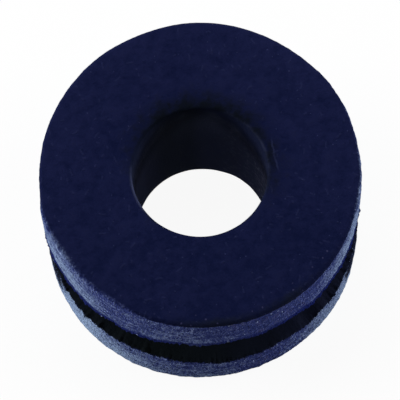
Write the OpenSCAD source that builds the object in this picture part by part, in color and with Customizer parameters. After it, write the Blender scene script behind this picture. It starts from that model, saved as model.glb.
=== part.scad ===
// Rubber grommet: one moulded ring. Two thick flanges stand either side of a groove that grips
// the edge of a hole in a panel, and a round bore through the middle takes a cable or a bolt.
// It stands on its lower face. The origin is the centre of that face and the bore runs along Z.

/* [Flanges] */
// Outside diameter of both flanges
flange_d = 19; // [16:0.5:30]
// Thickness of the lower flange
lower_flange_t = 3.75; // [2:0.25:8]
// Thickness of the upper flange
upper_flange_t = 3.75; // [2:0.25:8]
// Radius of the edge between each face and the flange's rim
face_edge_r = 0.3; // [0.1:0.05:0.8]
// Radius of the edge between each rim and the groove
groove_edge_r = 0.12; // [0.05:0.01:0.5]

/* [Panel groove] */
// Diameter across the groove's floor, which is the hole in the panel
groove_d = 13; // [11:0.5:16]
// Width of the groove, which takes the thickness of the panel
groove_w = 3.5; // [1.5:0.25:8]
// Radius of the two corners where the groove's floor meets its walls
groove_root_r = 0.4; // [0.1:0.05:0.7]

/* [Uneven groove] */
// How far the upper flange sags into the groove at its rim, where it sags most
sag = 0.85; // [0.1:0.05:1]
// Where that is, in degrees round from +X
sag_at = 215; // [0:5:355]
// How far the lower flange falls away from the groove at its rim, where it falls most
fall = 0.6; // [0.1:0.05:1]
// Where that is, in degrees round from +X
fall_at = 305; // [0:5:355]

/* [Bore] */
// Diameter of the bore
bore_d = 8; // [4:0.5:10]
// Radius of the rounded mouth at each end of the bore
bore_mouth_r = 0.25; // [0.1:0.05:1.5]

/* [Hidden] */

// Dark navy of the rubber
rubber = [0.075, 0.094, 0.212];
// Sides of a full turn and of a corner's arc
turn_fn = 240;
arc_fn = 96;
// How far a cut runs out past the rubber
over = 0.5;
// How far a fillet runs into the rubber
lap = 0.1;

bore_r = bore_d / 2;
groove_r = groove_d / 2;
flange_r = flange_d / 2;
// Distance from the axis at which the flat of a groove wall starts, past its fillet
wall_r = groove_r + groove_root_r;
upper_flange_z = lower_flange_t + groove_w;
height = upper_flange_z + upper_flange_t;

// The section is drawn in a half plane: X is the distance from the bore's axis, Y is the height.

// What rounding by r takes off a corner at the origin whose material lies towards -X and -Y
module rounding(r) {
    translate([-r, -r])
        difference() {
            square(r + over);
            circle(r, $fn = arc_fn);
        }
}

// What a fillet of radius r adds to an inner corner at the origin that opens towards +X and +Y
module fillet(r) {
    difference() {
        translate([-lap, -lap])
            square(r + lap);
        translate([r, r])
            circle(r, $fn = arc_fn);
    }
}

// Lifts a corner feature to height z, as drawn or upside down
module at_height(z, upright) {
    translate([0, z])
        mirror([0, upright ? 0 : 1])
            children();
}

// Blank of the ring before its edges are rounded, with the groove cut square
module blank_section() {
    difference() {
        translate([bore_r, 0])
            square([flange_r - bore_r, height]);
        translate([groove_r, lower_flange_t])
            square([flange_r - groove_r + over, groove_w]);
    }
}

// Fillets in the two corners of the groove
module groove_roots() {
    for (corner = [[lower_flange_t, true], [upper_flange_z, false]])
        translate([groove_r, 0])
            at_height(corner[0], corner[1])
                fillet(groove_root_r);
}

// Material taken off the four outer edges of the flanges
module rim_rounding() {
    for (edge = [[height, true, face_edge_r], [upper_flange_z, false, groove_edge_r],
                 [lower_flange_t, true, groove_edge_r], [0, false, face_edge_r]])
        translate([flange_r, 0])
            at_height(edge[0], edge[1])
                rounding(edge[2]);
}

// Material taken off both mouths of the bore
module mouth_rounding() {
    for (mouth = [[height, true], [0, false]])
        translate([bore_r, 0])
            at_height(mouth[0], mouth[1])
                mirror([1, 0])
                    rounding(bore_mouth_r);
}

// Finished section of the ring
module section() {
    difference() {
        union() {
            blank_section();
            groove_roots();
        }
        rim_rounding();
        mouth_rounding();
    }
}

// Ring from the start of a groove wall out to radius r, over the heights that a wedge of that depth takes up
module wall_ring(r, depth) {
    translate([0, 0, -depth - over])
        linear_extrude(depth + 2 * over)
            difference() {
                circle(r, $fn = turn_fn);
                circle(wall_r, $fn = turn_fn);
            }
}

// Wedge under the level of a groove wall at z = 0, on the side that the angle names. Its slope leaves the
// wall at the fillet and is depth lower at the rim. Its flat top clears the rounded edge of the flange.
module wall_wedge(r, depth, angle) {
    slope = depth / (flange_r - wall_r);
    end = flange_r + over;
    intersection() {
        wall_ring(r, depth);
        rotate([90, 0, angle])
            linear_extrude(2 * end, center = true)
                polygon([[wall_r - groove_edge_r / slope, groove_edge_r],
                         [end, -slope * (end - wall_r)],
                         [end, groove_edge_r]]);
    }
}

module grommet() {
    color(rubber) {
        difference() {
            rotate_extrude($fn = turn_fn)
                section();
            translate([0, 0, lower_flange_t])
                wall_wedge(flange_r + over, fall, fall_at);
        }
        translate([0, 0, upper_flange_z])
            wall_wedge(flange_r, sag, sag_at);
    }
}

grommet();
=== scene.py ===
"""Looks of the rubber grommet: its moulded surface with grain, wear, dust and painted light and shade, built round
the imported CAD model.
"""

import math

import bpy
from mathutils import Matrix, Vector, noise
from mathutils.bvhtree import BVHTree


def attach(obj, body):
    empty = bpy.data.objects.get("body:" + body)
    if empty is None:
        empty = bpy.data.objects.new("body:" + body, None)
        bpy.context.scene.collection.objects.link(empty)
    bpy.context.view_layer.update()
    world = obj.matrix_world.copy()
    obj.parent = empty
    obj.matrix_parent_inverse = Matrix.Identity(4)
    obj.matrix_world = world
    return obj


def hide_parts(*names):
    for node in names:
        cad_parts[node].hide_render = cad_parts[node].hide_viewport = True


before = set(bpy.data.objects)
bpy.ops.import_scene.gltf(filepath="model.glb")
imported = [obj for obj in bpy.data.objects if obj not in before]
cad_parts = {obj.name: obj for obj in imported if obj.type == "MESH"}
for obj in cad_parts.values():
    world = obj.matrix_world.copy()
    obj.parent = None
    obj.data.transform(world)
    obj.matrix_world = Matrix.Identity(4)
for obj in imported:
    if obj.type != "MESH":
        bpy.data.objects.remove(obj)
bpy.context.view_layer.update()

# Metres in a millimetre. Sizes in this script are in millimetres unless a comment says otherwise.
MM = 0.001

# Angles round the ring are in degrees from its front (-Y), positive towards its left (-X).
# The lists below hold (angle, value) pairs, joined by smooth curves right round. A value is a length or a share.

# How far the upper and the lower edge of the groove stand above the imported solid's own uneven edges
UPPER_EDGE_RISE = ((-170, 0), (-100, -0.15), (-60, -0.75), (-50, -0.55), (-43, -0.7), (-36, -0.15), (-28, -0.15),
                   (-18, -0.2), (-10, 0.0), (0, -0.15), (8, -0.1), (19, -0.35), (25, -0.2), (31, -0.25), (36, 0.15),
                   (42, -0.2), (60, -0.4), (100, -0.1), (140, 0))
LOWER_EDGE_RISE = ((-170, 0), (-100, -0.15), (-62, -0.4), (-54, -0.42), (-48, -0.1), (-42, -0.3), (-36, -0.02),
                   (-28, 0.08), (-15, -0.12), (-6, -0.5), (2, -0.3), (8, -0.33), (16, -0.18), (31, -0.15),
                   (38, -0.35), (56, -0.6), (66, -0.5), (80, -0.4), (120, -0.05))
# How far the upper and the lower rim stand out from the even round
UPPER_SWELL = ((-140, -0.05), (-123, 0.02), (-98, -0.03), (-82, 0.03), (-70, 0.0), (60, 0.02), (69, 0.1),
               (76, 0.14), (86, -0.01), (115, -0.02), (140, 0.0), (160, -0.03), (180, 0.03))
LOWER_SWELL = ((-150, 0), (-55, 0.03), (-38, -0.05), (-4, -0.055), (12, 0.0), (30, 0.03), (60, 0.0), (150, 0))
# How far the foot of the bore flares out, and how much of the solid's rounding the upper mouth has
BORE_FLARE = ((-170, 0), (-135, 0.07), (-105, 0.08), (-78, 0.1), (-60, 0), (60, 0))
MOUTH_ROUNDING = ((-120, 1.0), (-80, 0.8), (-50, 0.4), (-25, 0.25), (20, 0.25), (45, 0.7), (90, 1.0))

# How far in from the rim's top the rounded edge of the upper face is worn to the rim's grain, how crisp the border
# of that wear is, and how dark the painted shade on the rest of the edge is
WORN_EDGE = ((-150, 0.05), (-110, 0.15), (-90, 0.22), (-76, 0.28), (-62, 0.08), (-50, 0.0), (-25, -0.1), (0, 0.0),
             (20, 0.08), (30, 0.28), (36, 0.36), (42, 0.3), (56, 0.3), (66, 0.3), (77, 0.25), (85, 0.02), (120, 0.1),
             (150, 0.05))
WORN_CRISP = ((-150, 0.4), (-90, 0.3), (-74, 0.35), (-60, 0.7), (-50, 1.0), (0, 1.0), (18, 0.6), (30, 0.22),
              (60, 0.16), (75, 0.3), (110, 0.4))
EDGE_SHADE = ((-80, 0.0), (-64, 0.05), (-54, 0.35), (-42, 0.5), (-32, 0.85), (-20, 0.55), (-5, 0.9), (7, 0.7),
              (16, 0.2), (22, 0.0))
# How pale each rim is, from scuffing and from painted light where the rims' sides catch the lamps, below 0 for
# darker than plain, and how much more so at its foot than at its top
UPPER_SCUFF_AND_LIGHT = ((-180, 0.3), (-110, 0.5), (-85, 0.8), (-70, 0.8), (-60, 0.62), (-50, 0.35), (-42, 0.05),
               (-32, -0.25), (-18, -0.32), (-6, 0.08), (5, 0.32), (16, 0.3), (28, 0.25), (38, 0.3), (48, 0.5),
               (60, 0.7), (74, 0.65), (96, 0.15), (140, 0.3))
UPPER_TILT = ((-90, 0.5), (-60, 0.2), (-40, 0.1), (-20, 0.0), (-5, 0.15), (20, 0.1), (32, 0.2), (44, 0.3),
              (56, 0.4), (70, 0.35), (100, 0.5))
LOWER_SCUFF_AND_LIGHT = ((-180, 0.3), (-110, 0.5), (-62, 0.85), (-48, 0.72), (-36, 0.32), (-22, -0.1), (-10, 0.25),
               (0, 0.42), (15, 0.45), (26, 0.6), (38, 0.85), (50, 1.1), (70, 1.0), (110, 0.5))
LOWER_TILT = ((-60, 0.2), (-20, 0.1), (0, 0.3), (15, 0.35), (32, 0.5), (50, 0.2), (90, 0.0))
# How blue the groove is, how strong the deep blue strip above its upper edge is, and how tall that strip is
BLUE = ((-170, 0.5), (-90, 1.0), (-40, 0.9), (-20, 0.55), (0, 0.2), (20, 0.1), (45, 0.2), (80, 0.4), (140, 0.5))
STRIP = ((-170, 0.3), (-115, 0.6), (-85, 1.0), (-45, 1.0), (-30, 0.9), (-14, 0.7), (4, 0.65), (14, 0.95), (85, 1.0),
         (115, 0.6))
STRIP_HEIGHT = ((-170, 0.25), (-115, 0.3), (-88, 0.9), (-64, 1.0), (-46, 0.65), (-25, 0.4), (0, 0.25), (15, 0.38),
                (33, 0.5), (57, 0.75), (85, 0.85), (115, 0.3))
# How dark the painted shade on the sides of the lower rim is, and how dusty the outer part of the upper face
LOWER_RIM_SHADE = ((-145, 0.0), (-118, 0.25), (-98, 0.6), (-84, 1.05), (-70, 1.15), (-59, 0.0), (59, 0.0), (70, 1.15),
         (84, 1.05), (98, 0.6), (118, 0.25), (145, 0.0))
DUSTY = ((-180, 0.1), (-150, 0.4), (-132, 0.6), (-112, 0.35), (-95, 0.45), (-78, 0.5), (-62, 0.0), (-50, -0.15),
         (0, -0.1), (52, 0.15), (64, 0.4), (80, 0.5), (110, 0.3), (140, 0.2))
# How strong the painted highlight on the edge of the bore's upper mouth is, and how dark with painted shade and how
# sunk the face beside it is
MOUTH_HIGHLIGHT = ((-165, 0), (-145, 0.3), (-118, 0.45), (-98, 0.3), (-75, 0.05), (-30, 0), (50, 0), (64, 0.9),
                (80, 1.0), (92, 0.5), (102, 0))
MOUTH_SHADE = ((-170, 1.0), (-145, 0.9), (-115, 0.75), (-80, 0.55), (-50, 0.1), (0, 0), (50, 0.0), (85, 0.2),
               (110, 0.6), (150, 1.0))
# How far out from the mouth a thin crease runs on the upper face, drawn as a pale painted highlight, and how strong
# it is
CREASE_AT = ((-116, 0.5), (-108, 0.36), (-101, 0.28), (-94, 0.36), (-88, 0.46), (0, 0.5))
CREASE = ((-118, 0), (-108, 0.9), (-101, 0.6), (-94, 1.0), (-86, 0), (0, 0))
# Painted light in the bore: how far down its darker upper part, where the lamps reach, starts to turn to the lighter
# wall that stands in for light below, below 0 for a start above the mouth, and how far down it ends
BORE_PAINTED_LIGHT_START = ((-170, 0.1), (-150, 1.1), (-130, 2.2), (-115, 2.9), (-90, 3.4), (0, 2.0), (90, 3.2), (115, 2.6),
              (130, 1.8), (150, 0.7), (170, 0.0))
BORE_PAINTED_LIGHT_END = ((-170, 3.0), (-150, 4.3), (-130, 5.6), (-115, 5.4), (-90, 5.8), (90, 6.0), (115, 6.2), (130, 5.6),
            (150, 4.8), (170, 3.6))
# How much painted light the bore's wall has, and how coarse its grain is
BORE_LIGHT = ((-170, 0.35), (-150, 0.4), (-130, 0.6), (-105, 0.55), (100, 0.5), (115, 0.5), (130, 0.3), (150, 0.08),
              (168, 0.1))
BORE_COARSE = ((-170, 0.1), (-145, 0.4), (-110, 1.0), (-70, 1.0), (0, 0.6), (70, 0.6), (90, 0.5), (115, 0.1),
               (160, 0.0))

# How far the painted highlight reaches from the middle of the mouth's edge, and the painted shade from the mouth both
# ways
HIGHLIGHT_REACH = 0.09
MOUTH_SHADE_REACH = 1.6
# How far in from its rounded edge the upper face is dusty
DUST_REACH = 2.2
# How far in from its rounded edge the upper face is fully shaded, and how far on from there the shade fades out
SHADE_FULL = 0.105
SHADE_FADE = 0.3
# Power with which the painted shade on the lower rim fades out from the groove down to the rim's foot
LOWER_RIM_SHADE_FADE = 3
# How far below its top the upper rim still has the softness of the worn edge
WORN_BLEND = 0.7

# Sink of the upper face beside the bore where its painted shade is darkest, and how far out it reaches
SINK = 0.08
SINK_REACH = 2.2

# Raggedness of the groove's edges: (waves per millimetre, height) of the ripple, then of the sparse burrs
RIPPLE = ((1.1, 0.03), (3.2, 0.05), (7.0, 0.09))
BURR_WAVES = 4.0
BURR_START = 0.32
BURR_HEIGHT = 0.3
# How far from the edge's middle the raggedness reaches
RAGGED_REACH = 0.16

# Relief of each kind of surface: (waves per millimetre, height)
FACE_RELIEF = ((0.35, 0.015), (1.3, 0.006), (3.2, 0.004))
RIM_RELIEF = ((0.5, 0.02), (1.7, 0.025), (3.6, 0.03), (6.0, 0.015))
BORE_RELIEF = ((0.4, 0.02), (1.4, 0.02))
GROOVE_RELIEF = ((0.6, 0.03), (2.2, 0.01))

# Widths over which the relief of the rims and groove, and of the bore, sets in, and how deep in the bore its own is
# half there
RELIEF_BLEND = 0.3
BORE_BLEND = 0.6
BORE_BLEND_AT = 0.2

# What is the same at all points of a section, by the name that the material knows it by
EVEN = {"blue": BLUE, "blue_strip": STRIP, "crease": CREASE, "light": BORE_LIGHT, "coarse": BORE_COARSE}

# Sections round the ring, and points along each stretch of a section
COLUMNS = 832
STEPS = {
    "upper_face": 18, "upper_edge": 6, "upper_rim": 22, "upper_lip": 4, "upper_wall": 4, "upper_root": 2, "floor": 2,
    "lower_root": 2, "lower_wall": 7, "lower_lip": 4, "lower_rim": 20, "lower_edge": 4, "lower_face": 5,
    "lower_mouth": 3, "bore": 12, "upper_mouth": 5,
}


class Section:
    """Sizes of the ring's section in millimetres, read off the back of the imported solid, where it is even."""

    # How near two sizes count as one, and how far behind the axis the even back starts
    TOUCH = 0.004
    BACK = 2.0

    def __init__(self, node):
        corners = [v.co / MM for v in node.data.vertices]
        points = {(math.hypot(x, y), z) for x, y, z in corners if y > self.BACK}
        self.height = max(z for r, z in points)
        self.flange_r = max(r for r, z in points)
        self.bore_r = min(r for r, z in points)
        middle = self.height / 2
        rims = [z for r, z in points if r > self.flange_r - self.TOUCH]
        self.face_edge_r = min(rims)
        lower_rim_top = max(z for z in rims if z < middle)
        upper_rim_foot = min(z for z in rims if z > middle)
        self.mouth_r = min(z for r, z in points if r < self.bore_r + self.TOUCH)
        groove = [(r, z) for r, z in points if lower_rim_top < z < upper_rim_foot]
        self.floor_r = min(r for r, z in groove if r > self.bore_r + self.mouth_r)
        half_way = (self.floor_r + self.flange_r) / 2
        self.lower_wall_z = max(z for r, z in groove if r > half_way and z < middle)
        self.upper_wall_z = min(z for r, z in groove if r > half_way and z > middle)
        self.groove_edge_r = self.lower_wall_z - lower_rim_top
        floor_foot = min(z for r, z in groove if r < self.floor_r + self.TOUCH and z > self.lower_wall_z)
        self.root_r = floor_foot - self.lower_wall_z
        self.solid = BVHTree.FromPolygons(corners, [tuple(face.vertices) for face in node.data.polygons])

    def wall(self, across, r, up):
        """Height of the solid's groove wall over or under a place in the groove."""
        place = across * r + Vector((0, 0, self.height / 2))
        return self.solid.ray_cast(place, Vector((0, 0, 1 if up else -1)))[0].z


class Outline:
    """Points of a section in order, with the index at which each named stretch starts and ends."""

    def __init__(self):
        self.points = []
        self.spans = {}

    def add(self, name, points):
        first = len(self.points)
        self.points += points
        self.spans[name] = (first, len(self.points))

    def line(self, name, start, end, bend=lambda share: 0.0):
        """Even steps from start up to end, each moved in height by bend(share of the way)."""
        shares = [i / STEPS[name] for i in range(STEPS[name])]
        self.add(name, [(start[0] + (end[0] - start[0]) * t, start[1] + (end[1] - start[1]) * t + bend(t))
                        for t in shares])

    def arc(self, name, centre, radius, first, last):
        """Even steps round a corner from the first angle up to the last, in degrees."""
        turns = [math.radians(first + (last - first) * i / STEPS[name]) for i in range(STEPS[name])]
        self.add(name, [(centre[0] + radius * math.cos(a), centre[1] + radius * math.sin(a)) for a in turns])


def around(pairs, angle):
    """Value at an angle, on smooth curves through the (angle, value) pairs."""
    closed = [(pairs[-1][0] - 360, pairs[-1][1])] + list(pairs) + [(pairs[0][0] + 360, pairs[0][1])]
    for (a, low), (b, high) in zip(closed, closed[1:]):
        if a <= angle <= b:
            share = (1 - math.cos(math.pi * (angle - a) / (b - a))) / 2
            return low + (high - low) * share
    return pairs[0][1]


def waves(place, bands):
    """Sum of smooth noise at a place in millimetres, over (waves per millimetre, height) bands."""
    return sum(height * noise.noise(place * rate) for rate, height in bands)


def ragged(place):
    """How far the groove's edge stands out at a place: fine ripple with a few burrs."""
    burr = max(0.0, noise.noise(place * BURR_WAVES) - BURR_START)
    return waves(place, RIPPLE) + BURR_HEIGHT * burr


def outwards(angle):
    """Level direction away from the axis at an angle round the ring."""
    turn = math.radians(angle)
    return Vector((-math.sin(turn), -math.cos(turn), 0))


def groove_wall(size, angle, up):
    """Points of a groove wall from its root to its lip: the solid's wall, and more of the edge's rise outwards."""
    start = size.floor_r + size.root_r
    run = size.flange_r - size.groove_edge_r - start
    rise = around(UPPER_EDGE_RISE if up else LOWER_EDGE_RISE, angle)
    across = outwards(angle)
    steps = STEPS["upper_wall" if up else "lower_wall"]
    shares = [i / steps for i in range(steps + 1)]
    return [(start + run * t, size.wall(across, start + run * t, up) + rise * t) for t in shares]


def outline(size, angle):
    """The ring's section at an angle, from the upper face outwards and right round to the bore."""
    edge = size.face_edge_r
    corner = size.groove_edge_r
    root = size.root_r
    mouth = size.mouth_r
    upper_mouth = mouth * around(MOUTH_ROUNDING, angle)
    upper_rim = size.flange_r + around(UPPER_SWELL, angle)
    lower_rim = size.flange_r + around(LOWER_SWELL, angle)
    bore_foot = size.bore_r + around(BORE_FLARE, angle)
    upper_wall = groove_wall(size, angle, True)
    lower_wall = groove_wall(size, angle, False)
    upper = upper_wall[-1][1]
    lower = lower_wall[-1][1]
    upper_root = upper_wall[0][1] - root
    lower_root = lower_wall[0][1] + root
    face_run = upper_rim - edge - size.bore_r - upper_mouth
    deepest = SINK * around(MOUTH_SHADE, angle)
    mouth_z = size.height - deepest - upper_mouth

    def sink(share):
        inwards = max(0.0, 1 - share * face_run / SINK_REACH)
        return deepest * inwards * inwards

    o = Outline()
    o.line("upper_face", (size.bore_r + upper_mouth, size.height), (upper_rim - edge, size.height),
           lambda share: -sink(share))
    o.arc("upper_edge", (upper_rim - edge, size.height - edge), edge, 90, 0)
    o.line("upper_rim", (upper_rim, size.height - edge), (upper_rim, upper + corner))
    o.arc("upper_lip", (upper_rim - corner, upper + corner), corner, 0, -90)
    o.add("upper_wall", upper_wall[:0:-1])
    o.arc("upper_root", (size.floor_r + root, upper_root), root, 90, 180)
    o.line("floor", (size.floor_r, upper_root), (size.floor_r, lower_root))
    o.arc("lower_root", (size.floor_r + root, lower_root), root, 180, 270)
    o.add("lower_wall", lower_wall[:-1])
    o.arc("lower_lip", (lower_rim - corner, lower - corner), corner, 90, 0)
    o.line("lower_rim", (lower_rim, lower - corner), (lower_rim, edge))
    o.arc("lower_edge", (lower_rim - edge, edge), edge, 0, -90)
    o.line("lower_face", (lower_rim - edge, 0), (bore_foot + mouth, 0))
    o.arc("lower_mouth", (bore_foot + mouth, mouth), mouth, -90, -180)
    o.line("bore", (bore_foot, mouth), (size.bore_r, mouth_z))
    o.arc("upper_mouth", (size.bore_r + upper_mouth, mouth_z), upper_mouth, 180, 90)
    return o


class Way:
    """The way round a section, from the start of the upper face outwards, and how far along it each point lies."""

    def __init__(self, o):
        self.spans = o.spans
        self.at = [0.0]
        for (r0, z0), (r1, z1) in zip(o.points, o.points[1:] + o.points[:1]):
            self.at.append(self.at[-1] + math.hypot(r1 - r0, z1 - z0))
        self.whole = self.at.pop()

    def start(self, name):
        return self.at[self.spans[name][0]]

    def middle(self, name):
        first, last = self.spans[name]
        return (self.at[first] + self.at[last]) / 2

    def each(self, value):
        """List of value(distance along the way) at every point."""
        return [value(s) for s in self.at]


def depths(way, angle):
    """Depth of each point of a section inside each kind of surface, in millimetres, negative outside it."""
    top = way.start("upper_rim") - around(WORN_EDGE, angle)
    upper_lip, lower_lip = way.middle("upper_lip"), way.middle("lower_lip")
    foot = way.start("lower_face")
    bore = way.start("lower_mouth")
    strip = around(STRIP_HEIGHT, angle)
    half_way = (upper_lip + lower_lip) / 2
    return {
        "rim": way.each(lambda s: max(min(s - top, upper_lip - s), min(s - lower_lip, foot - s))),
        "groove": way.each(lambda s: min(s - upper_lip, lower_lip - s)),
        "bore": way.each(lambda s: max(-s, min(s - bore, way.whole - s))),
        "strip": way.each(lambda s: strip - upper_lip + s if s < half_way else -1.0),
        "ragged": way.each(lambda s: RAGGED_REACH - min(abs(s - upper_lip), abs(s - lower_lip))),
    }


def rim_paleness(way, angle):
    """How pale the nearer rim is, from scuffing and painted light, at each point of a section."""
    upper, lower = way.start("upper_rim"), way.start("lower_rim")
    # The lower rim's height serves for both
    down = way.start("lower_edge") - lower
    upper_pale, upper_tilt = around(UPPER_SCUFF_AND_LIGHT, angle), around(UPPER_TILT, angle)
    lower_pale, lower_tilt = around(LOWER_SCUFF_AND_LIGHT, angle), around(LOWER_TILT, angle)

    def pale(s):
        if s < (upper + lower) / 2:
            return upper_pale + upper_tilt * min(0.5, (s - upper) / down - 0.5)
        return lower_pale + lower_tilt * min(0.5, (s - lower) / down - 0.5)

    return way.each(pale)


def rim_wear_and_light(way, angle):
    """How strong the wear, the dust and the painted light and shade on the upper face and the rims are at each point
    of a section.
    """
    edge = way.start("upper_edge")
    soft_end = way.start("upper_rim") + WORN_BLEND
    lip = way.middle("lower_lip")
    fall = way.start("lower_edge") - lip
    shade, dusty = around(EDGE_SHADE, angle), around(DUSTY, angle)
    crisp, lower_rim_shade = around(WORN_CRISP, angle), around(LOWER_RIM_SHADE, angle)
    return {
        "shade": way.each(lambda s: shade * max(0.0, min(1.0, 1 + (s - edge + SHADE_FULL) / SHADE_FADE))),
        "dusty": way.each(lambda s: dusty * max(0.0, 1 + (s - edge) / DUST_REACH) if s < edge else dusty),
        "scuff_and_light": rim_paleness(way, angle),
        "crisp": way.each(lambda s: crisp if s < soft_end else 1.0),
        "lower_rim_shade": way.each(lambda s: lower_rim_shade * max(0.0, 1 - ((s - lip) / fall) ** LOWER_RIM_SHADE_FADE) if s > lip else 0.0),
    }


def bore_painted_light(way, angle):
    """How strong the painted light in the bore, and the painted highlight and shade round its mouth, are at each
    point of a section.
    """
    whole = way.whole
    lit_start, lit_end = around(BORE_PAINTED_LIGHT_START, angle), around(BORE_PAINTED_LIGHT_END, angle)
    mouth_edge = (way.start("upper_mouth") + whole) / 2
    mouth_highlight, mouth_shade = around(MOUTH_HIGHLIGHT, angle), around(MOUTH_SHADE, angle)
    crease_at = around(CREASE_AT, angle)

    def deep(s):
        below = whole - s if 2 * s > whole else 0.0
        return (below - lit_start) / (lit_end - lit_start)

    def highlight_at(s):
        away = min(abs(s - mouth_edge), s + whole - mouth_edge)
        return mouth_highlight * fade(HIGHLIGHT_REACH - away, HIGHLIGHT_REACH)

    return {
        "deep": way.each(deep),
        "mouth_highlight": way.each(highlight_at),
        "mouth_shade": way.each(lambda s: mouth_shade * max(0.0, 1 - min(s, whole - s) / MOUTH_SHADE_REACH)),
        "crease_at": way.each(lambda s: (s - whole if 2 * s > whole else s) - crease_at),
    }


def zones(o, angle):
    """What the relief and the material need to know at each point of a section, by name."""
    way = Way(o)
    even = {name: [around(pairs, angle)] * len(way.at) for name, pairs in EVEN.items()}
    return {**depths(way, angle), **rim_wear_and_light(way, angle), **bore_painted_light(way, angle), **even}


def fade(depth, width):
    """0 well outside a zone, 1 well inside it, with a smooth change over the width."""
    share = min(1.0, max(0.0, 0.5 + depth / width))
    return share * share * (3 - 2 * share)


def relief(place, zone, i):
    """Height of the surface's relief at a place, which is point i of its section."""
    rim = fade(zone["rim"][i], RELIEF_BLEND)
    groove = fade(zone["groove"][i], RELIEF_BLEND)
    bore = fade(zone["bore"][i] - BORE_BLEND_AT, BORE_BLEND)
    edge = fade(zone["ragged"][i], RAGGED_REACH)
    face = max(0.0, 1 - rim - groove - bore)
    return (face * waves(place, FACE_RELIEF) + rim * waves(place, RIM_RELIEF)
            + groove * waves(place, GROOVE_RELIEF) + bore * waves(place, BORE_RELIEF) + edge * ragged(place))


def normals(points):
    """Outward direction in the section at each of its points."""
    count = len(points)
    out = []
    for i in range(count):
        r0, z0 = points[i - 1]
        r1, z1 = points[(i + 1) % count]
        span = math.hypot(r1 - r0, z1 - z0)
        out.append(((z0 - z1) / span, (r1 - r0) / span))
    return out


def column(size, number):
    """Points of one section of the ring, in metres, with what the attributes say at them."""
    angle = 360 * number / COLUMNS - 180
    across = outwards(angle)
    o = outline(size, angle)
    zone = zones(o, angle)
    points = []
    for i, ((r, z), (nr, nz)) in enumerate(zip(o.points, normals(o.points))):
        place = across * r + Vector((0, 0, z))
        height = relief(place, zone, i)
        points.append((place + (across * nr + Vector((0, 0, nz))) * height) * MM)
    return points, zone


# Attributes of the mesh that its material reads
ZONES = ("rim", "groove", "bore", "deep", "strip", "blue_strip", "shade", "scuff_and_light", "crisp", "blue", "coarse", "light",
         "lower_rim_shade", "dusty", "crease_at", "crease", "mouth_highlight", "mouth_shade")


def ring_mesh(size):
    """Mesh of the whole ring, closed round its axis and round its section."""
    points = []
    values = {name: [] for name in ZONES}
    for number in range(COLUMNS):
        column_points, zone = column(size, number)
        points += column_points
        for name, value in values.items():
            value += zone[name]
    rings = len(column_points)
    faces = []
    for c in range(COLUMNS):
        here = c * rings
        after = (c + 1) % COLUMNS * rings
        faces += [(here + i, after + i, after + (i + 1) % rings, here + (i + 1) % rings) for i in range(rings)]
    mesh = bpy.data.meshes.new("grommet_rubber")
    mesh.from_pydata(points, [], faces)
    for name, value in values.items():
        mesh.attributes.new(name, "FLOAT", "POINT").data.foreach_set("value", value)
    mesh.polygons.foreach_set("use_smooth", [True] * len(faces))
    mesh.update()
    return mesh


class Nodes:
    """Short calls that add nodes to a material or world and link them."""

    def __init__(self, owner):
        owner.use_nodes = True
        self.tree = owner.node_tree
        self.tree.nodes.clear()

    def put(self, kind, inputs=(), **settings):
        """A node of that kind. Its inputs are given by name or number, as values or as sockets to link."""
        node = self.tree.nodes.new(kind)
        for name, value in settings.items():
            setattr(node, name, value)
        for name, value in dict(inputs).items():
            socket = node.inputs[name]
            if isinstance(value, bpy.types.NodeSocket):
                self.tree.links.new(value, socket)
            else:
                socket.default_value = value
        return node

    def attribute(self, name):
        return self.put("ShaderNodeAttribute", attribute_name=name).outputs["Fac"]

    def math(self, operation, a, b=0.0, clamp=False):
        return self.put("ShaderNodeMath", {0: a, 1: b}, operation=operation, use_clamp=clamp).outputs[0]

    def times(self, a, b):
        return self.math("MULTIPLY", a, b)

    def step(self, value, low, high, bottom=0.0, top=1.0):
        """Smooth change from bottom to top as the value goes from low to high."""
        return self.put("ShaderNodeMapRange", {"Value": value, "From Min": low, "From Max": high,
                                               "To Min": bottom, "To Max": top},
                        interpolation_type="SMOOTHSTEP").outputs[0]

    def noise(self, place, rate, detail=2.0, rough=0.5):
        """Noise from about -1 to 1."""
        node = self.put("ShaderNodeTexNoise", {"Vector": place, "Scale": rate, "Detail": detail,
                                               "Roughness": rough})
        return self.put("ShaderNodeMapRange", {"Value": node.outputs[0], "From Min": 0.25, "From Max": 0.75,
                                               "To Min": -1.0, "To Max": 1.0}, clamp=False).outputs[0]

    def mix(self, share, a, b):
        """Colour a where the share is 0, and colour b where it is 1."""
        node = self.put("ShaderNodeMix", data_type="RGBA")
        for socket, value in ((node.inputs[0], share), (node.inputs[6], a), (node.inputs[7], b)):
            if isinstance(value, bpy.types.NodeSocket):
                self.tree.links.new(value, socket)
            else:
                socket.default_value = value if isinstance(value, float) else (*value, 1.0)
        return node.outputs[2]


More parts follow.
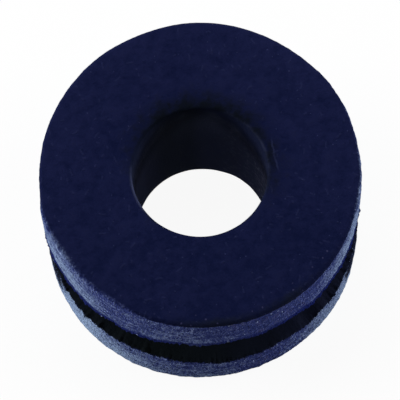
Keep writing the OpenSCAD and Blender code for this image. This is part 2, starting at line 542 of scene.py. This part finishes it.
class RubberNodes(Nodes):
    """Nodes of the rubber's material. Its noises and masks, and the mesh's attributes, are called by name."""

    def __init__(self, material):
        super().__init__(material)
        metres = self.put("ShaderNodeTexCoord").outputs["Object"]
        self.place = self.put("ShaderNodeVectorMath", {0: metres, "Scale": 1 / MM}, operation="SCALE").outputs[0]
        self.fields = {name: self.noise(self.stretched(height), *kind) for name, (height, *kind) in NOISES.items()}
        self.fields["back"] = self.put("ShaderNodeSeparateXYZ", {0: self.place}).outputs[1]

    def stretched(self, height):
        """Places in millimetres, with their height times a factor."""
        return self.put("ShaderNodeVectorMath", {0: self.place, 1: (1.0, 1.0, height)},
                        operation="MULTIPLY").outputs[0]

    def field(self, name):
        return self.fields[name] if name in self.fields else self.attribute(name)

    def blend(self, shares):
        """Sum of the fields that the shares name, each times its share."""
        parts = [self.times(self.field(name), share) for name, share in shares.items()]
        result = parts[0]
        for part in parts[1:]:
            result = self.math("ADD", result, part)
        return result

    def layer(self, under, colour, low, high, cover, shares):
        """Colour laid over another, from nothing where the blend is low up to its full cover where it is high."""
        return self.mix(self.step(self.blend(shares), low, high, 0.0, cover), under, colour)


# Factors on the height that make a noise stand tall or lie in level streaks, and take the height out of it
TALL = 0.4
LEVEL = 5.0
FLAT = 0.0

# Noises of the rubber: (factor on the height, waves per millimetre, detail, roughness)
NOISES = {
    "soft": (1.0, 0.35, 2.0, 0.5),
    "mottle": (1.0, 1.1, 3.0, 0.6),
    "blotch": (1.0, 2.6, 2.0, 0.6),
    "spot": (1.0, 3.0, 2.0, 0.6),
    "nick": (1.0, 5.5, 1.0, 0.5),
    "fine_nick": (1.0, 11.0, 1.0, 0.5),
    "grain": (TALL, 7.5, 2.0, 0.6),
    "fine": (TALL, 14.0, 1.0, 0.5),
    "streak": (LEVEL, 0.8, 3.0, 0.6),
}

# Colours of the rubber, as linear red, green and blue
FACE_COLOUR = (0.0042, 0.0064, 0.0292)
FACE_DUSTY = (0.0122, 0.0152, 0.0575)
# Painted shade round the back of the bore's mouth and in the hollow beside the crease
FACE_SHADE = (0.0032, 0.0045, 0.0082)
# Painted shade along the front of the upper face's rounded edge
PAINTED_EDGE_SHADE = (0.0066, 0.0088, 0.0195)
RIM_COLOUR = (0.0240, 0.0350, 0.1400)
RIM_PALE = (0.1500, 0.1850, 0.4000)
RIM_DARK = (0.0060, 0.0085, 0.0450)
RIM_SCUFFED_AND_LIT = (0.2450, 0.3350, 0.5000)
RIM_MAUVE = (0.0750, 0.0700, 0.1800)
SPARKLE_COLOUR = (0.3800, 0.4600, 0.7200)
STRIP_COLOUR = (0.0055, 0.0105, 0.0850)
LOWER_RIM_SHADE_COLOUR = (0.0060, 0.0080, 0.0200)
GROOVE_COLOUR = (0.0045, 0.0065, 0.0068)
GROOVE_BLUE = (0.0080, 0.0100, 0.0240)
# Colours of the bore's wall, painted light: darker near the mouth, and much lighter deeper down to stand in for light
BORE_TOP_COLOUR = (0.0040, 0.0056, 0.0105)
BORE_TOP_LIT = (0.0085, 0.0120, 0.0400)
BORE_COLOUR = (0.0720, 0.0860, 0.1150)
BORE_LIT = (0.1650, 0.1950, 0.3900)
BORE_GRAIN = (0.3800, 0.4000, 0.6400)
# Painted highlight on the edge of the bore's mouth
MOUTH_HIGHLIGHT_COLOUR = (0.0350, 0.0420, 0.0900)
DUST_COLOUR = (0.0500, 0.0600, 0.1500)
CRUMB_COLOUR = (0.0340, 0.0350, 0.0860)

# Layers of colour: the colour, the sums at which it starts and is full, how much it covers there, and the share that
# each noise and attribute has in the sum
PAINTED_EDGE_SHADE_LAYER = (PAINTED_EDGE_SHADE, 0.2, 1.2, 1.0, {"shade": 1.0, "mottle": 0.12, "blotch": 0.18, "grain": 0.12})
# The scuffed layer is partly painted light: the rims are painted paler where their sides catch the lamps
RIM_LAYERS = (
    (RIM_PALE, -0.05, 1.25, 1.0, {"grain": 0.55, "fine": 0.55, "streak": 0.35, "blotch": 0.25, "scuff_and_light": 0.35}),
    (RIM_SCUFFED_AND_LIT, 0.1, 1.45, 1.0, {"scuff_and_light": 1.0, "streak": 0.28, "grain": 0.26, "blotch": 0.18}),
    (RIM_MAUVE, 0.1, 1.0, 0.5, {"mottle": 0.6, "blotch": 0.6, "scuff_and_light": -0.4}),
    (RIM_DARK, 0.1, 0.9, 0.7, {"grain": -0.7, "streak": -0.5, "blotch": -0.4, "scuff_and_light": -0.3}),
)
# Painted shade on the sides of the lower rim
LOWER_RIM_SHADE_LAYER = (LOWER_RIM_SHADE_COLOUR, 0.3, 0.9, 1.0, {"lower_rim_shade": 1.0, "mottle": 0.35, "blotch": 0.4, "grain": 0.25})

# Borders: the share that each attribute and noise has in the sum, and the sums between which one look turns into
# the other
RIM_BORDER = ({"rim": 1.0, "blotch": 0.05, "grain": 0.05}, -0.03, 0.06)
BORE_BORDER = ({"bore": 1.0, "blotch": 0.05, "grain": 0.05}, -0.05, 0.15)
GROOVE_BORDER = ({"groove": 1.0, "nick": 0.06, "fine_nick": 0.08}, -0.06, 0.02)
STRIP_BORDER = ({"strip": 1.0, "grain": 0.22, "blotch": 0.14}, -0.25, 0.05)
SPOT_BORDER = ({"spot": 0.8, "grain": 0.3, "coarse": 0.3}, 0.1, 1.3)
MOUTH_SHADE_BORDER = ({"mouth_shade": 1.0, "mottle": 0.32, "blotch": 0.24}, 0.1, 1.2)
# Depths in the bore between which the painted shade round the mouth fades out, and its cover at each
MOUTH_SHADE_IN_BORE = (0.1, 0.45, 1.0, 0.0)

# How far the plain face is on the way from its own colour to the dusty one, and what the noises and attributes add
FACE_LIGHT = 0.24
FACE_CLOUDS = {"soft": 0.09, "mottle": 0.21, "blotch": 0.19, "grain": 0.09, "back": 0.012, "dusty": 0.22}
# How much fibres and specks of dust cover the face, and how much more the specks do where it is dusty
FIBRE_COVER = 0.08
DUST_COVER = 0.26
DUST_MORE = 0.3

# Kinds of fibres: (cell, length, width, share of the cells that have one)
FIBRES = ((1.3, 0.5, 0.07, 0.3), (0.8, 0.25, 0.07, 0.25))
# Bow of a fibre, and the share of its length at which its ends start to fade
FIBRE_BOW = 1.6
FIBRE_FADE = 0.7
# Kinds of specks: (cell, radius, share of the cells that have one), and the share of the radius that is full
DUST = ((0.6, 0.065, 0.35), (0.35, 0.05, 0.2))
SPARKLES = ((0.42, 0.075, 0.2), (0.28, 0.055, 0.15))
LIP_SPARKLES = (0.42, 0.1, 0.35)
CRUMBS = (0.3, 0.08, 0.25)
SPECK_CORE = 0.4
# How much the sparkles on the rims cover
SPARKLE_COVER = 0.6
# Distances from the groove's border between which the sparkles on its lips fade out, and their cover at each
LIP_BAND = (0.05, 0.3, 0.75, 0.0)
# Shades of the upper face's edge between which its crumbs come in, and their cover at each
CRUMB_BAND = (0.0, 0.12, 0.0, 0.8)

# Wobble of the crease's line, and the distances from the line between which the crease's painted highlight fades out,
# with its cover at each
CREASE_WOBBLE = {"crease_at": 1.0, "blotch": 0.04, "grain": 0.02}
CREASE_HIGHLIGHT_BAND = (0.02, 0.08, 0.17, 0.0)
# How far towards the bore the painted shadow in the hollow beside the crease lies, and the same distances and covers
# for it
HOLLOW_SHADOW_IN = 0.2
HOLLOW_SHADOW_BAND = (0.08, 0.22, 0.45, 0.0)

# Height of a full step of the bump, in millimetres, and what the bump of each surface is made of
BUMP = 0.05
RIM_BUMP = {"grain": 0.8, "fine": 0.5, "streak": 0.4}
FACE_BUMP = {"mottle": 0.3, "blotch": 0.2, "grain": 0.1, "fibres": 0.2, "dust": 0.3}
BORE_BUMP = {"spots": 0.5, "grain": 0.15}
# Roughness of the rubber, what the noises add to it, and its dull shine
ROUGHNESS = 0.82
ROUGHNESS_NOISE = {"mottle": 0.04, "grain": 0.05}
SPECULAR = 0.006


def fibres(n, place, cell, length, width, share):
    """Mask of short bent fibres, each at a random place and angle in its own cell."""
    cells = n.put("ShaderNodeTexVoronoi", {"Vector": place, "Scale": 1 / cell, "Randomness": 1.0})
    offset = n.put("ShaderNodeVectorMath", {0: place, 1: cells.outputs["Position"]}, operation="SUBTRACT")
    random = n.put("ShaderNodeSeparateColor", {0: cells.outputs["Color"]})
    turn = n.times(random.outputs[0], 2 * math.pi)
    turned = n.put("ShaderNodeVectorRotate", {"Vector": offset.outputs[0], "Angle": turn},
                   rotation_type="Z_AXIS")
    split = n.put("ShaderNodeSeparateXYZ", {0: turned.outputs[0]})
    bend = n.times(n.math("SUBTRACT", random.outputs[1], 0.5), FIBRE_BOW)
    bow = n.times(bend, n.math("POWER", n.math("ABSOLUTE", split.outputs[0]), 2.0))
    aside = n.math("ABSOLUTE", n.math("SUBTRACT", split.outputs[1], bow))
    along = n.math("ABSOLUTE", split.outputs[0])
    thread = n.times(n.step(aside, width / 2, width, 1.0, 0.0),
                     n.step(along, length / 2 * FIBRE_FADE, length / 2, 1.0, 0.0))
    return n.times(thread, n.math("LESS_THAN", random.outputs[2], share))


def specks(n, place, cell, radius, share):
    """Mask of round specks, each at a random place in its own cell."""
    cells = n.put("ShaderNodeTexVoronoi", {"Vector": place, "Scale": 1 / cell, "Randomness": 1.0})
    random = n.put("ShaderNodeSeparateColor", {0: cells.outputs["Color"]})
    distance = n.times(cells.outputs["Distance"], cell)
    dot = n.step(distance, radius * SPECK_CORE, radius, 1.0, 0.0)
    return n.times(dot, n.math("LESS_THAN", random.outputs[0], share))


def border(n, shares, low, high):
    """0 outside a surface's wobbly border, 1 inside it."""
    return n.step(n.blend(shares), low, high)


def add_masks(n):
    """Fields for the fibres, the dust and the rough spots of the bore."""
    flat = n.stretched(FLAT)
    n.fields["fibres"] = n.math("MAXIMUM", *(fibres(n, flat, *kind) for kind in FIBRES))
    n.fields["dust"] = n.math("MAXIMUM", *(specks(n, n.place, *kind) for kind in DUST))
    n.fields["spots"] = border(n, *SPOT_BORDER)


def face_colour(n):
    """Smooth dusty face with fibres and specks, and painted shade along a part of its edge."""
    cloud = n.math("ADD", n.blend(FACE_CLOUDS), FACE_LIGHT, clamp=True)
    colour = n.mix(cloud, FACE_COLOUR, FACE_DUSTY)
    colour = n.mix(n.times(n.fields["fibres"], FIBRE_COVER), colour, DUST_COLOUR)
    cover = n.math("ADD", n.times(n.attribute("dusty"), DUST_MORE), DUST_COVER)
    colour = n.mix(n.times(n.fields["dust"], cover), colour, DUST_COLOUR)
    colour = n.layer(colour, *PAINTED_EDGE_SHADE_LAYER)
    crumbs = n.times(specks(n, n.place, *CRUMBS), n.step(n.attribute("shade"), *CRUMB_BAND))
    return n.mix(crumbs, colour, CRUMB_COLOUR)


def rim_colour(n):
    """Pale grain, scuffed and with painted light, with sparkles, a deep blue strip over the groove, and painted shade
    on the sides of the lower rim.
    """
    tall = n.stretched(TALL)
    colour = RIM_COLOUR
    for layer in RIM_LAYERS:
        colour = n.layer(colour, *layer)
    sparkles = n.math("MAXIMUM", *(specks(n, tall, *kind) for kind in SPARKLES))
    colour = n.mix(n.times(sparkles, SPARKLE_COVER), colour, SPARKLE_COLOUR)
    strip = n.times(border(n, *STRIP_BORDER), n.attribute("blue_strip"))
    colour = n.mix(strip, colour, STRIP_COLOUR)
    lips = n.step(n.math("ABSOLUTE", n.attribute("groove")), *LIP_BAND)
    colour = n.mix(n.times(specks(n, tall, *LIP_SPARKLES), lips), colour, SPARKLE_COLOUR)
    return n.layer(colour, *LOWER_RIM_SHADE_LAYER)


def bore_colour(n):
    """Wall of the bore, with painted light: darker above, where the lamps reach, and lighter below, with coarser
    grain there.
    """
    light = n.attribute("light")
    wall = n.mix(light, BORE_COLOUR, BORE_LIT)
    wall = n.mix(n.times(n.fields["spots"], n.attribute("coarse")), wall, BORE_GRAIN)
    wall_top = n.mix(light, BORE_TOP_COLOUR, BORE_TOP_LIT)
    return n.mix(n.step(n.attribute("deep"), 0.0, 1.0), wall_top, wall)


def mouth_painted_light(n, colour):
    """A colour with the painted highlight on the edge of the bore's mouth, the painted shade round it, and the crease
    beside it, a painted highlight with painted shadow in its hollow, laid over it.
    """
    colour = n.mix(n.attribute("mouth_highlight"), colour, MOUTH_HIGHLIGHT_COLOUR)
    painted_shade = n.times(border(n, *MOUTH_SHADE_BORDER), n.step(n.attribute("bore"), *MOUTH_SHADE_IN_BORE))
    colour = n.mix(painted_shade, colour, FACE_SHADE)
    crease = n.attribute("crease")
    away = n.blend(CREASE_WOBBLE)
    hollow_shadow = n.step(n.math("ABSOLUTE", n.math("ADD", away, HOLLOW_SHADOW_IN)), *HOLLOW_SHADOW_BAND)
    colour = n.mix(n.times(hollow_shadow, crease), colour, FACE_SHADE)
    # Painted highlight along the crease's ridge
    line = n.step(n.math("ABSOLUTE", away), *CREASE_HIGHLIGHT_BAND)
    return n.mix(n.times(line, crease), colour, DUST_COLOUR)


def rubber_material():
    """Dark navy rubber: smooth dusty faces, pale grainy rims, and a nearly black groove and bore."""
    material = bpy.data.materials.new("grommet_rubber")
    n = RubberNodes(material)
    add_masks(n)
    shares, low, high = RIM_BORDER
    rim = n.step(n.times(n.blend(shares), n.attribute("crisp")), low, high)
    bore = border(n, *BORE_BORDER)
    groove = border(n, *GROOVE_BORDER)
    inside = mouth_painted_light(n, n.mix(bore, face_colour(n), bore_colour(n)))
    deep = n.mix(n.attribute("blue"), GROOVE_COLOUR, GROOVE_BLUE)
    colour = n.mix(groove, n.mix(rim, inside, rim_colour(n)), deep)

    height = n.mix(rim, n.mix(bore, n.blend(FACE_BUMP), n.blend(BORE_BUMP)), n.blend(RIM_BUMP))
    bump = n.put("ShaderNodeBump", {"Height": height, "Strength": 1.0, "Distance": BUMP * MM})
    roughness = n.math("ADD", n.blend(ROUGHNESS_NOISE), ROUGHNESS, clamp=True)
    shader = n.put("ShaderNodeBsdfPrincipled", {
        "Base Color": colour, "Roughness": roughness, "Normal": bump.outputs[0], "Specular IOR Level": SPECULAR})
    n.put("ShaderNodeOutputMaterial", {"Surface": shader.outputs[0]})
    return material


def seen_directly(n):
    """1 on rays from the camera or by way of gloss or glass, which show the pale studio as it looks."""
    path = n.put("ShaderNodeLightPath")
    gloss = n.math("MAXIMUM", path.outputs["Is Glossy Ray"], path.outputs["Is Transmission Ray"])
    return n.math("MAXIMUM", path.outputs["Is Camera Ray"], gloss)


# Half of the floor's width in metres, and how far it lies below the grommet's lower face
FLOOR_HALF = 0.5
FLOOR_DROP = 0.01
FLOOR_COLOUR = (0.92, 0.92, 0.92, 1.0)
# Share of the floor's look that is plain white. The rest is lit, and shows the grommet's shadow.
FLOOR_WHITE = 0.93
# Strength of the even light from all round
AMBIENT = 0.12


def floor_material():
    """Floor that looks nearly white to the camera and still shows the grommet's shadow."""
    material = bpy.data.materials.new("floor_white")
    n = Nodes(material)
    lit = n.put("ShaderNodeBsdfDiffuse", {"Color": FLOOR_COLOUR})
    white = n.put("ShaderNodeEmission", {"Color": (1, 1, 1, 1), "Strength": 1.0})
    share = n.times(seen_directly(n), FLOOR_WHITE)
    both = n.put("ShaderNodeMixShader", {0: share, 1: lit.outputs[0], 2: white.outputs[0]})
    n.put("ShaderNodeOutputMaterial", {"Surface": both.outputs[0]})
    return material


def make_floor():
    """Plain white floor under the grommet, a hair below the face that it stands on."""
    drop = FLOOR_DROP * MM
    half = FLOOR_HALF
    mesh = bpy.data.meshes.new("floor")
    mesh.from_pydata([(-half, -half, -drop), (half, -half, -drop), (half, half, -drop), (-half, half, -drop)],
                     [], [(0, 1, 2, 3)])
    mesh.materials.append(floor_material())
    floor = bpy.data.objects.new("floor", mesh)
    bpy.context.scene.collection.objects.link(floor)


def make_world():
    """White surroundings to the camera, dim even light for everything else."""
    world = bpy.data.worlds.new("studio")
    bpy.context.scene.world = world
    n = Nodes(world)
    strength = n.math("MAXIMUM", seen_directly(n), AMBIENT)
    back = n.put("ShaderNodeBackground", {"Color": (1, 1, 1, 1), "Strength": strength})
    n.put("ShaderNodeOutputWorld", {"Surface": back.outputs[0]})


# Soft lamps: name, degrees round from the front towards the left, elevation, metres away, width and height
# in metres, and the share of full light that it gives a level surface
LAMPS = (
    ("left_lamp", 98, 20, 0.45, 0.30, 0.14, 0.36),
    ("right_lamp", -98, 20, 0.45, 0.30, 0.14, 0.26),
    ("back_lamp", 180, 24, 0.50, 0.30, 0.14, 0.12),
    ("top_lamp", 150, 65, 0.50, 0.30, 0.30, 0.24),
)


def make_lamp(name, angle, elevation, distance, width, height, level):
    """Soft lamp aimed at the grommet, unseen by the camera."""
    turn = math.radians(angle)
    rise = math.radians(elevation)
    away = Vector((-math.sin(turn) * math.cos(rise), -math.cos(turn) * math.cos(rise), math.sin(rise)))
    light = bpy.data.lights.new(name, "AREA")
    light.shape = "RECTANGLE"
    light.size = width
    light.size_y = height
    # Power at which the lamp gives a level surface under it its share of full light
    light.energy = math.pi ** 2 * distance ** 2 * level / math.sin(rise)
    lamp = bpy.data.objects.new(name, light)
    lamp.location = away * distance
    lamp.rotation_mode = "QUATERNION"
    lamp.rotation_quaternion = away.to_track_quat("Z", "Y")
    lamp.visible_camera = False
    bpy.context.scene.collection.objects.link(lamp)


# The photograph's camera: a long lens, well above the grommet and rolled a little
LENS = 303.4
SENSOR = 36.0
CAMERA_DISTANCE = 203.5
CAMERA_ELEVATION = 71.04
CAMERA_ROLL = -2.19
# How far the camera stands to its right and above the line through the grommet's middle
CAMERA_RIGHT = -0.07
CAMERA_UP = 0.125
# Nearest place that it sees, in metres
CLIP_START = 0.01


def make_camera(size):
    """Camera that sees the grommet as the photograph does."""
    rise = math.radians(CAMERA_ELEVATION)
    roll = math.radians(CAMERA_ROLL)
    ahead = Vector((0, math.cos(rise), -math.sin(rise)))
    level = Vector((1, 0, 0))
    above = level.cross(ahead)
    right = level * math.cos(roll) + above * math.sin(roll)
    up = above * math.cos(roll) - level * math.sin(roll)
    spot = Vector((0, 0, size.height / 2)) - ahead * CAMERA_DISTANCE + right * CAMERA_RIGHT + up * CAMERA_UP
    data = bpy.data.cameras.new("camera")
    data.sensor_width = SENSOR
    data.lens = LENS
    data.clip_start = CLIP_START
    camera = bpy.data.objects.new("camera", data)
    turned = Matrix((right, up, -ahead)).transposed().to_4x4()
    camera.matrix_world = Matrix.Translation(spot * MM) @ turned
    bpy.context.scene.collection.objects.link(camera)
    bpy.context.scene.camera = camera


def make_grommet(size):
    """Finely modelled ring that stands for the CAD solid."""
    mesh = ring_mesh(size)
    mesh.materials.append(rubber_material())
    ring = bpy.data.objects.new("grommet_rubber", mesh)
    bpy.context.scene.collection.objects.link(ring)
    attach(ring, "root")
    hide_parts("grommet")


section = Section(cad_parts["grommet"])
make_camera(section)
make_floor()
make_world()
for lamp in LAMPS:
    make_lamp(*lamp)
make_grommet(section)
bpy.context.scene.view_settings.view_transform = "Standard"
